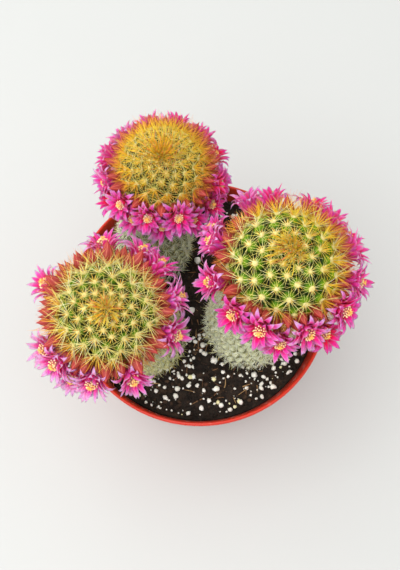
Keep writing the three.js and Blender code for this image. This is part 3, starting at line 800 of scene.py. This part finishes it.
def add_head_spines(heap, stem, sites, seed):
    """Tiers of spines on every areole: a star of thin ones that lies along the tubercle, short middle ones
    with red-brown ends, and long golden ones on the crown, the sunny side and between the buds."""
    crown, shoulder, trunk = spine_zones(stem, sites)
    golden = np.maximum(shoulder, stem.gold) * (1 - trunk)
    star_tint = stem.star_tint + 0.12 * shoulder - 0.1 * trunk
    add_tier(
        heap, stem, sites, seed, count=stem.star, rise=12,
        length=0.84 * sites.spacing + 1.6 + 0.6 * golden, thickness=0.096,
        tint=star_tint, tip_tint=star_tint + 0.06 * (1 - trunk),
        comb=0.3 * crown + stem.comb * shoulder, bend=0.1 * crown - 0.06, rows=3)
    add_tier(
        heap, stem, sites, seed + 1, count=5, rise=58,
        length=3.2 + 1.8 * golden + 1.6 * crown, thickness=0.15,
        tint=mixed(0.26, 0.4, golden) - 0.12 * trunk,
        tip_tint=mixed(0.8, 0.7, golden) + 0.16 * crown - 0.4 * trunk,
        comb=0.2 * crown + stem.comb * golden, bend=0.05 + 0.1 * crown, rows=3)
    add_strands(heap, stem, sites, seed + 2)
    add_ring_hair(heap, stem, sites, seed + 3)
    add_veil(heap, stem, sites, seed + 4)
    add_rosettes(heap, stem, sites, seed + 5)


def add_strands(heap, stem, sites, seed):
    """Long golden spines of the crown and the shoulder, combed away from the apex: ochre by the apex,
    yellow below it and orange by the ring."""
    crown, shoulder, trunk = spine_zones(stem, sites)
    golden = np.maximum(np.maximum(shoulder, stem.gold) * (1 - trunk), 0.5 * crown)
    chosen = golden > 0.3
    some = sites.picked(chosen)
    near, far = crown[chosen], smoothstep(some.rise, stem.pole - 12, 2)
    sunny = np.cos(some.angle - math.radians(stem.sunny_side))
    add_tier(
        heap, stem, some, seed, count=stem.strands, rise=62,
        length=(1 + 0.25 * sunny) * (stem.strand_length + stem.strand_growth * far), thickness=0.135,
        tint=0.2 + 0.12 * near + (0.14 + 0.08 * stem.gold) * far,
        tip_tint=0.42 + 0.02 * near + (0.26 + 0.1 * stem.gold) * far,
        comb=stem.comb * (1 - near) * (1 + 0.9 * sunny), bend=0.1 * near + 0.02, rows=4)


def add_ring_hair(heap, stem, sites, seed):
    """Long fine spines that reach out over the buds and the foot of the blooms, warmer lower down."""
    low = sites.picked((sites.rise < stem.shag_top) & (sites.rise > -9))
    warm = stem.hair_tint + 0.1 * smoothstep(-low.rise, -12, 2)
    add_tier(
        heap, stem, low, seed, count=stem.hair, rise=40, length=stem.ring_reach, thickness=0.12,
        tint=warm - 0.12, tip_tint=warm + 0.1, comb=stem.comb - 0.1, bend=0.03, rows=3)


def add_veil(heap, stem, sites, seed):
    """Long thin spines that reach from the dome's edge out over the ring of buds, pale on a green dome
    and orange on a golden one."""
    warm = max(0.0, stem.gold - 0.3)
    edge = sites.picked((sites.rise < stem.shag_top + 9) & (sites.rise > 2))
    add_tier(
        heap, stem, edge, seed, count=stem.veil, rise=38, length=11, thickness=0.12,
        tint=0.1 + 0.7 * warm, tip_tint=0.24 + 0.95 * warm, comb=stem.comb - 0.15, bend=-0.02, rows=3)


def add_rosettes(heap, stem, sites, seed):
    """Short thick pale-yellow spines crowded on the dome's areoles, longer round the crown."""
    top = sites.picked(sites.rise > 3)
    near = smoothstep(top.rise, stem.pole - 19, stem.pole - 15)
    add_tier(
        heap, stem, top, seed, count=10, rise=34, length=0.3 * top.spacing + mixed(0.8, 1.5, near),
        thickness=0.21, tint=0.13, tip_tint=0.17, comb=0, bend=-0.04, rows=2)


def add_tuft(heap, stem, seed):
    """Young spines crowded on the crown: rooted on a disc, they stand up, arch a little and lean to one
    side. Most are golden, some are red-brown to their ends."""
    draw = np.random.default_rng(seed)
    tuft, count = stem.tuft, stem.tuft["count"]
    share = np.sqrt(draw.uniform(0, 1, count))
    angle = draw.uniform(0, 2 * math.pi, count)
    root, normal, radial, _ = stem.skin(angle, stem.pole - tuft["reach"] * share, 1.2)
    outward = tuft["outward"] * share[:, None] * radial
    lean = unit(0.8 * stem.up + 0.3 * normal + outward + draw.normal(0, 0.06, (count, 3)))
    curl = 0.5 * outward + tuft["sweep"] + draw.normal(0, 0.03, (count, 3))
    thick = draw.uniform(0.2, 0.36, count)
    length = tuft["length"] * draw.uniform(0.7, 1.15, count)
    points, faces, along = needles(root, lean, length, thick, curl, 5)
    dark = smoothstep(draw.uniform(0, 1, (count, 1)), 0.66, 0.84) * tuft["dark"]
    pale = tuft["gold"] - draw.uniform(0.0, 0.14, (count, 1))
    heap.add(points, faces, warmth=mixed(pale, pale + 0.1 + dark, along ** 1.1))


def further_buds(stem):
    """Seats of smaller buds crowded between the larger ones: of a ring of places, those that keep clear
    of every bloom's tube and of the buds taken before them."""
    bloom_seat, bloom_way, _ = stem.bloom_seats()
    taken = stem.bud_seats()[0]
    places = np.arange(SMALL_BUD_PLACES)
    angles = (places + 0.5) * 2 * math.pi / SMALL_BUD_PLACES
    seat, way, across = stem.seats(angles, SMALL_BUD_RISES[places % 3], SMALL_BUD_TILT)
    away = distance_to_lines(seat + 3 * way, bloom_seat, bloom_way, stem.bloom["tube"]).min(1)
    chosen = []
    for number in np.flatnonzero(away > SMALL_BUD_CLEARANCE):
        if np.linalg.norm(taken - seat[number], axis=1).min() > SMALL_BUD_GAP:
            taken = np.vstack([taken, seat[number]])
            chosen.append(number)
    return seat[chosen], way[chosen], across[chosen]


def add_buds(heap, seats, size):
    """Closed buds: spindles of fourteen sides with a narrow neck, a full belly and a twisted point."""
    seat, way, across = seats
    sides = 14
    size = size * np.random.default_rng(len(seat)).uniform(0.84, 1.12, len(seat))[:, None]
    long = BUD_LENGTH * size
    share = np.array([-0.12, 0.06, 0.2, 0.36, 0.54, 0.7, 0.84, 0.94])
    radius = np.interp(share, [-0.12, 0.06, 0.5, 0.84, 1.0], [BUD_NECK, BUD_NECK + 0.3, BUD_BELLY, 1.1, 0.1])
    path = seat[:, None] + (long * share)[..., None] * way[:, None]
    turn = turns(sides) + 0.9 * share[:, None]
    fold = 1 + 0.05 * np.cos(7 * turn)
    outline = ((size * radius)[..., None] * fold)[..., None] * on_circle(turn)
    points = swept(path, across[:, None], np.cross(way, across)[:, None], outline, seat + (long + 1) * way)
    stripes = np.append(np.tile([1.0, 0.0], len(share) * sides // 2), 0.5)
    heap.add(points, spindle_faces(len(share), sides), along=ring_values(share, sides, 1.0), across=stripes)


# Blooms


def bent_bloom(stem, seat, way, across, lower, draw):
    """A bloom whose tube bends towards the light, further the more it leans out, and sinks again at the
    sides and the back. The petals and the heart stand on a straight axis of their own, which meets the
    bent tube at its lip in the same direction. At the back the lower row's tubes are longer and the upper
    row's shorter, so they end in one fringe."""
    lean = way @ stem.up
    aside = smoothstep(way[1], -0.75, 0.05)
    sink = (1.0 if lower else 2.8) * aside
    lift = (7.5 * (1 - lean) ** 3 - sink) * unit(stem.up - lean * way)
    back = max(way[1], 0)
    usual = stem.bloom
    tube = usual["tube"] * (1 + back * (usual["far"] if lower else -0.2) - 0.09 * aside * (1 - back))
    turned = unit(way + 1.5 / tube * lift)
    across = unit(across - (across @ turned) * turned)
    return {
        "tube": tube, "length": tube + usual["length"] - usual["tube"], "spread": usual["spread"],
        "size": usual["width"] * usual["spread"] / USUAL_SPREAD, "foot": (seat, way, lift),
        "frame": (seat + tube * way + lift - tube * turned, turned, across, np.cross(turned, across)),
        "fullness": usual["fullness"] * draw.uniform(0.92, 1.06),
        "pale": usual["pale"] + draw.uniform(-0.2, 0.14), "opened": draw.uniform(0.82, 1.0),
    }


def petal_layer(heap, bloom, whorl, draw):
    """One whorl of narrow pointed petals. Each runs along a cubic curve in the plane through the bloom's
    axis, and its half width is width * s^0.45 * (1 - s)^0.7 / 0.46. Its section is a shallow trough."""
    seat, way, across, above = bloom["frame"]
    count, start, width, pale, shape = whorl
    tube, rise = bloom["tube"], bloom["length"] - bloom["tube"]
    turn = (np.arange(count) + start + draw.uniform(-0.22, 0.22, count)) / count * 2 * math.pi
    out = around(turn, across, above)
    side = np.cross(way, out)[:, None]
    knots = np.tile(shape, (count, 1, 1))
    knots[:, 1:, 0] *= bloom["opened"]
    knots[:, 3, 1] += 1.6 * (1 - bloom["opened"])
    knots[:, 2:, 0] *= draw.uniform(0.9, 1.08, (count, 1))
    knots[:, 3, 1] += draw.uniform(-0.75, 0.3, count)
    knots[:, 2:, 1] *= draw.uniform(0.85, 1.1, (count, 1))
    s = np.append(np.arange(PETAL_ROWS) / PETAL_ROWS, 1.0)
    flat = cubic(knots.swapaxes(0, 1)[:, :, None], s[:, None])
    reach, climb = flat[..., :1] * (bloom["spread"] * bloom["fullness"]), tube + flat[..., 1:] * rise
    path = seat + reach * out[:, None] + climb * way
    path = path + (draw.uniform(-1.9, 1.9, count)[:, None] * s ** 2.5)[..., None] * side
    face = unit(np.cross(unit(np.gradient(path, axis=1)), side))
    half = (bloom["size"] * width * (s[:-1] + 0.03) ** 0.45 * (1 - s[:-1]) ** 0.7 / 0.46)[:, None]
    x, level = PETAL_OUTLINE.T
    outline = np.stack([half * x, 0.32 * half * x ** 2 + (level - 1) * PETAL_THICKNESS], -1)
    points = swept(path[:, :-1], side, face[:, :-1], outline, path[:, -1])
    heap.add(points, spindle_faces(PETAL_ROWS, len(x)), along=ring_values(s[:-1], len(x), 1.0),
             across=np.append(np.tile(np.abs(x), PETAL_ROWS), 0.0),
             inside=np.append(np.tile(level, PETAL_ROWS), 1.0),
             pale=pale + bloom["pale"] + draw.uniform(-0.06, 0.06, (count, 1)))


def bloom_tube(heap, bloom):
    """The red tube under the petals: radius from the foot's 1.6 mm, slim, then flaring to the lip. At
    share s of its length its middle has bent towards the light by lift * s^2. The tip closes the throat."""
    seat, way, lift = bloom["foot"]
    _, _, across, above = bloom["frame"]
    sides = 12
    share = np.array([0.02, 0.15, 0.4, 0.65, 0.85, 1.0])
    s = np.append(share, 0.86)[:, None]
    path = (seat + bloom["tube"] * s * way + s ** 2 * lift)[None]
    radius = np.interp(share, [0, 0.4, 0.75, 1.0], [1.6, 1.8, 2.3, 0.33 * bloom["spread"]])
    ribs = 1 + 0.05 * np.cos(6 * turns(sides))
    outline = radius[:, None, None] * (ribs[:, None] * on_circle(turns(sides)))
    points = swept(path[:, :-1], across[None, None], above[None, None], outline, path[:, -1])
    stripes = np.append(np.tile([0.2, 0.9], len(share) * sides // 2), 0.5)
    heap.add(points, spindle_faces(len(share), sides), along=ring_values(0.5 * share, sides, 0.3),
             across=stripes, inside=0.0, pale=0.0)


def bloom_heart(heap, bloom, draw):
    """Stamens in a loose dome, height 5 - 0.22 r^2, with a golden anther on each, round a stigma."""
    seat, way, across, above = bloom["frame"]
    top = seat + (bloom["tube"] - 1.5) * way
    scale = bloom["spread"] / USUAL_SPREAD
    number = np.arange(STAMENS)
    share = np.sqrt((number + 0.5) / STAMENS)
    radius = scale * 3.2 * share
    out = around(number * GOLDEN_ANGLE, across, above)
    height = scale * (5 - 0.22 * radius ** 2) + draw.uniform(-0.3, 0.3, STAMENS)
    end = top + radius[:, None] * out + height[:, None] * way
    start = top + 0.4 * radius[:, None] * out
    length = np.linalg.norm(end - start, axis=1)
    straight = np.zeros((STAMENS, 3))
    points, faces, along = needles(start, unit(end - start), length, np.full(STAMENS, 0.11), straight)
    heap.add(points, faces, look=1, along=0.1 + 0.4 * along, **HEART_VALUES)
    points, faces = lumps(end, np.full(STAMENS, 0.46 * scale), 0.1, 1, 5)
    golden = 0.98 - 0.36 * share + draw.uniform(-0.08, 0.08, STAMENS)
    heap.add(points, faces, look=1, along=golden[:, None], **HEART_VALUES)
    add_stigma(heap, bloom, top, scale)


def add_stigma(heap, bloom, top, scale):
    """A style up the middle and short lobes that spread from its end."""
    _, way, across, above = bloom["frame"]
    height = 5.6 * scale
    points, faces, _ = needles(
        top[None], way[None], np.array([height]), np.array([0.3]), np.zeros((1, 3)), 3, 5)
    heap.add(points, faces, look=1, along=0.5, **HEART_VALUES)
    out = around(turns(STIGMA_LOBES), across, above)
    root = np.broadcast_to(top + (height - 0.4) * way, out.shape)
    length, thick = np.full(STIGMA_LOBES, 1.5 * scale), np.full(STIGMA_LOBES, 0.26)
    points, faces, _ = needles(root, unit(0.75 * out + 0.6 * way), length, thick, 0.3 * out, 3, 4)
    heap.add(points, faces, look=1, along=0.95, **HEART_VALUES)


def bloom_heap(stem):
    """Every bloom of a head, petals, tube and heart, each on its own seat."""
    heap = Heap()
    for number, (seat, way, across, lower) in enumerate(zip(*stem.bloom_seats(), stem.lower_blooms())):
        draw = np.random.default_rng(1000 + number)
        bloom = bent_bloom(stem, seat, way, across, lower, draw)
        bloom_tube(heap, bloom)
        for whorl in WHORLS:
            petal_layer(heap, bloom, whorl, draw)
        bloom_heart(heap, bloom, draw)
    return heap


def make_stem(stem, seed, looks):
    """All the pieces of one stem: body, spines, buds and blooms."""
    sites = dressed_areoles(stem)
    make_piece(f"stem_body_{stem.name}", stem_body(stem, sites), [looks["skin"], looks["wool"]],
               [f"stem_{stem.name}"])
    head = sites.rise > LOWER_ROW - 4
    head_spines, trunk_spines, buds = Heap(), Heap(), Heap()
    add_head_spines(head_spines, stem, sites.picked(head), seed)
    add_tuft(head_spines, stem, seed + 5)
    make_piece(f"spines_head_{stem.name}", head_spines, [looks["spine"]])
    add_trunk_spines(trunk_spines, stem, sites.picked(~head), seed + 6)
    make_piece(f"spines_trunk_{stem.name}", trunk_spines, [looks["spine"]])
    add_buds(buds, stem.bud_seats(), stem.bud_size)
    add_buds(buds, further_buds(stem), SMALL_BUD_SHARE * stem.bud_size)
    make_piece(f"buds_{stem.name}", buds, [looks["bud"]])
    names = [f"bloom_{stem.name}_{number + 1:02d}" for number in range(len(stem.bloom_angles))]
    make_piece(f"blooms_{stem.name}", bloom_heap(stem), [looks["petal"], looks["heart"]], names)


# Pot and soil


def value_noise(x, y, cell, seed):
    """Smooth noise from 0 to 1 on a plane: random values at the corners of square cells, eased between."""
    table = np.random.default_rng(seed).random((64, 64))
    u, v = x / cell, y / cell
    i, j = np.floor(u).astype(int), np.floor(v).astype(int)
    s, t = smoothstep(u - i, 0, 1), smoothstep(v - j, 0, 1)
    corner = lambda a, b: table[(i + a) % 64, (j + b) % 64]
    return mixed(mixed(corner(0, 0), corner(1, 0), s), mixed(corner(0, 1), corner(1, 1), s), t)


def soil_top(x, y):
    """Height of the soil's top: two sets of low waves, as in the solid, with two sizes of lumps on them."""
    waves = np.sin(0.21 * x + 1.3) * np.cos(0.24 * y) + 0.6 * np.sin(0.47 * x - 0.39 * y)
    coarse, fine = value_noise(x, y, 3.1, 1) - 0.5, value_noise(x, y, 1.2, 2) - 0.5
    return SOIL_LEVEL + 0.7 * waves + 1.3 * coarse + 0.7 * fine


def soil_heap():
    """Body of soil: rings up the pot's inside, then rings of its crumbly top from the wall to the middle."""
    sides, rings = 200, 56
    circle = on_circle(turns(sides))
    wall = [
        at_height(circle * (radius - SOIL_WALL_GAP), height + SOIL_FLOOR_GAP)
        for radius, height in POT_INSIDE]
    flats = [circle * SOIL_RADIUS * ring / rings for ring in range(rings, 0, -1)] + [np.zeros((1, 2))]
    points = np.concatenate(wall + [at_height(flat, soil_top(*flat.T)) for flat in flats])
    tone = 0.12 + 0.4 * value_noise(points[:, 0], points[:, 1], 2.2, 3) ** 2
    heap = Heap()
    heap.add(points[None], spindle_faces(len(wall) + rings, sides), tone=tone)
    return heap


def distance_to_stems(x, y):
    """Distance of each place on the soil from the middle of each stem's foot, (stems, places)."""
    return np.array([np.hypot(x - stem.foot[0], y - stem.foot[1]) for stem in STEMS])


def free_soil_places(count, seed, reach, gap):
    """Random places on the soil inside a radius that keep a gap from every stem's root."""
    draw = np.random.default_rng(seed)
    angle = draw.uniform(0, 2 * math.pi, 3 * count)
    radius = reach * np.sqrt(draw.uniform(0, 1, 3 * count))
    x, y = radius * np.cos(angle), radius * np.sin(angle)
    roots = np.array([[stem.root_radius] for stem in STEMS])
    clear = (distance_to_stems(x, y) > roots + gap).all(0)
    return x[clear][:count], y[clear][:count], draw


def crumb_heap():
    """Crumbs of peat, most of them small, half sunk in the top."""
    x, y, draw = free_soil_places(2500, 21, SOIL_RADIUS - 1.2, 0)
    size = 0.35 + 1.1 * draw.uniform(0, 1, len(x)) ** 3
    points, faces = lumps(np.column_stack([x, y, soil_top(x, y) + 0.25 * size]), size, 0.3, 1, 22)
    heap = Heap()
    heap.add(points, faces, tone=0.15 + 0.5 * draw.uniform(0, 1, (len(x), 1)) ** 2)
    return heap


def scatter(seed):
    """The same repeatable scatter value that places the solid's grains: the part after the point."""
    return np.modf(np.sin(seed * 12.9898) * 43758.5453 + 50000)[0]


def grain_places():
    """Places and sizes of the large perlite grains that the solid has."""
    seed = np.arange(1, 200, dtype=float)
    angle = 2 * math.pi * scatter(seed + 0.31)
    reach = PERLITE_REACH * np.sqrt(scatter(seed + 0.77))
    x, y = reach * np.cos(angle), reach * np.sin(angle)
    clear = (distance_to_stems(x, y) >= PERLITE_GAP).all(0)
    size = 1.5 + 1.2 * scatter(seed + 0.13)
    return x[clear][:PERLITE_COUNT], y[clear][:PERLITE_COUNT], size[clear][:PERLITE_COUNT]


def perlite_heap():
    """White grains: the solid's large ones and many smaller ones in front of the stems and round them."""
    large_x, large_y, large_size = grain_places()
    x, y, draw = free_soil_places(760, 31, SOIL_RADIUS - 2.5, 1)
    outside = (y < -16) | (np.hypot(x, y) > 46)
    x, y = x[outside], y[outside]
    size = 0.4 + 1.25 * draw.uniform(0, 1, len(x)) ** 1.9
    heap = Heap()
    add_grains(heap, large_x, large_y, 0.8 * large_size, 2, draw)
    add_grains(heap, x, y, size, 1, draw)
    return heap


def add_grains(heap, x, y, size, rounds, draw):
    """Grains partly sunk in the top, a few of them stained yellow."""
    points, faces = lumps(np.column_stack([x, y, soil_top(x, y) + 0.4 * size]), size, 0.2, rounds, 32)
    tone = 0.35 + 0.45 * draw.uniform(0, 1, (len(x), 1))
    tone[draw.uniform(0, 1, len(x)) > 0.93] = 0.97
    heap.add(points, faces, tone=tone)


def fibre_heap():
    """Thin dry fibres that lie on the soil and bend a little."""
    x, y, draw = free_soil_places(150, 41, SOIL_RADIUS - 9, 2)
    turn = draw.uniform(0, 2 * math.pi, len(x))
    lean = unit(np.column_stack([on_circle(turn), draw.uniform(-0.05, 0.16, len(x))]))
    root = np.column_stack([x, y, soil_top(x, y) + 0.5])
    length = 2.5 + 7 * draw.uniform(0, 1, len(x)) ** 2
    thick = draw.uniform(0.12, 0.34, len(x))
    curl = draw.normal(0, 0.22, (len(x), 3)) * [1, 1, 0.3]
    points, faces, _ = needles(root, lean, length, thick, curl, 6, 4)
    heap = Heap()
    heap.add(points, faces, tone=draw.uniform(0.1, 0.9, (len(x), 1)))
    return heap


def make_soil():
    """The soil and what lies on it."""
    peat = peat_material()
    make_piece("soil_bed", soil_heap(), [peat], ["soil"])
    make_piece("soil_crumbs", crumb_heap(), [peat])
    make_piece("perlite_grains", perlite_heap(), [perlite_material()])
    make_piece("soil_fibres", fibre_heap(), [straw_material()])


def pot_profile():
    """Radius, height and darkening of the pot's wall, from the middle of its underside round to its inside.
    The darkening is partly dirt from the soil and partly painted shade, strongest on the inner wall down to
    the soil.
    The lip is slimmer than the solid's."""
    rim, top, collar, floor = POT_RIM_RADIUS, POT_HEIGHT, COLLAR_FOOT, FLOOR_THICKNESS
    return np.array([
        (20, 0, 0.5), (38, 0, 0.5), (FLOOR_RADIUS, 0, 0.6), (49.4, 0.25, 0.5), (50.1, 0.8, 0.4),
        (50.5, 1.5, 0.3), (52.9, 15, 0.1), (57.0, 39, 0.0), (61.0, 63, 0.0), (64.3, 82.6, 0.1),
        (64.7, 83.8, 0.3), (65.4, 84.5, 0.3), (66.1, 85.0, 0.1), (66.5, 86.2, 0.0), (67.2, 92.6, 0.0),
        (68.0, 99.6, 0.0), (68.3, 100.6, 0.1), (69.0, 101.1, 0.1),
        (rim - 0.35, 101.5, 0.0), (rim, 102.4, 0.0), (rim - 0.1, 103.1, 0.0),
        (rim - 0.4, 103.8, 0.0), (rim - 0.8, top, 0.0), (rim - 1.3, top, 0.1), (rim - 1.7, 103.7, 0.2),
        (rim - 2.1, 103.0, 0.3), (66.9, 100.0, 0.3), (66.1, 96.0, 0.5), (65.3, 92.0, 0.8),
        (64.7, collar + 1.6, 1.0), (62.9, collar, 1.0), (FLOOR_RADIUS, floor, 1.0), (20, floor, 1.0),
    ])


def make_pot():
    """The pot: its profile turned round the upright axis, with a ring of drain holes cut in its floor."""
    sides = 144
    profile = pot_profile()
    rings = [at_height(on_circle(turns(sides)) * radius, height) for radius, height, _ in profile]
    points = np.concatenate([*rings, [[0, 0, FLOOR_THICKNESS]]])
    heap = Heap()
    heap.add(points[None], spindle_faces(len(profile), sides), dust=ring_values(profile[:, 2], sides, 1.0))
    cut_drains(make_piece("pot_shell", heap, [plastic_material()], ["pot"]))


def cut_drains(pot):
    """Cuts the drain holes with upright cylinders and keeps the result as the pot's own mesh."""
    heap, sides, low, high = Heap(), 40, -2.0, 6.0
    for centre in DRAIN_CIRCLE * on_circle(turns(DRAIN_COUNT)):
        ring = centre + DRAIN_RADIUS * on_circle(turns(sides))
        points = np.concatenate([at_height(ring, low), at_height(ring, high), [[*centre, high]]])
        heap.add(points[None], spindle_faces(2, sides))
    mesh = bpy.data.meshes.new("drain_cutter")
    mesh.from_pydata((np.concatenate(heap.points) * MM).tolist(), [], np.concatenate(heap.faces).tolist())
    cutter = placed("drain_cutter", mesh)
    modifier = pot.modifiers.new("drains", "BOOLEAN")
    modifier.object, modifier.operation, modifier.solver = cutter, "DIFFERENCE", "EXACT"
    cut = bpy.data.meshes.new_from_object(pot.evaluated_get(bpy.context.evaluated_depsgraph_get()))
    pot.modifiers.clear()
    pot.data = cut
    bpy.data.objects.remove(cutter)


# Stage


def make_floor():
    """A square table top, four metres to each side of the pot."""
    size = 4.0
    mesh = bpy.data.meshes.new("table_top")
    corners = [(-size, -size, 0), (size, -size, 0), (size, size, 0), (-size, size, 0)]
    mesh.from_pydata(corners, [], [(0, 1, 2, 3)])
    mesh.materials.append(floor_material())
    placed("table_top", mesh)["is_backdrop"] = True


def aimed(name, data, place, aim):
    """A lamp or a camera that faces a point."""
    thing = placed(name, data)
    thing.location = place
    thing.rotation_euler = (Vector(aim) - Vector(place)).to_track_quat("-Z", "Y").to_euler()
    return thing


def make_light(name, place, aim, size, power):
    """A soft square lamp, slightly warm."""
    lamp = bpy.data.lights.new(name, "AREA")
    lamp.size, lamp.energy, lamp.color = size, power, (1.0, 0.99, 0.97)
    aimed(name, lamp, place, aim)


def make_lights():
    """An even pale room, a broad window at the left and a lamp high above the front left."""
    world = bpy.data.worlds.new("studio")
    world.use_nodes = True
    background = world.node_tree.nodes["Background"]
    background.inputs["Color"].default_value = (1.0, 0.995, 0.98, 1.0)
    background.inputs["Strength"].default_value = 1.2
    bpy.context.scene.world = world
    make_light("window_left", (-0.6, 0.05, 0.6), (0, 0, 0.08), 1.9, 7.9)
    make_light("key_above", (-0.26, -0.2, 1.05), (0, 0, 0.1), 0.9, 7.4)


def make_camera():
    """The photograph's view: 71 degrees above the table, 0.49 m from the rim."""
    lens = bpy.data.cameras.new("camera")
    lens.sensor_width = 36
    lens.lens = 56.84
    lens.clip_start = 0.01
    bpy.context.scene.camera = aimed("camera", lens, (0.0002, -0.1558, 0.5695), (0.0002, 0.0075, 0.104))


make_camera()
make_lights()
make_floor()
make_pot()
make_soil()
LOOKS = {
    "skin": skin_material(), "wool": wool_material(), "spine": spine_material(),
    "bud": bud_material(), "petal": petal_material(), "heart": heart_material(),
}
for order, each_stem in enumerate(STEMS):
    make_stem(each_stem, 100 * (order + 1), LOOKS)
bpy.context.scene.view_settings.view_transform = "Standard"

full_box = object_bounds()
[list(corner) for corner in cad_box]
[list(corner) for corner in full_box]
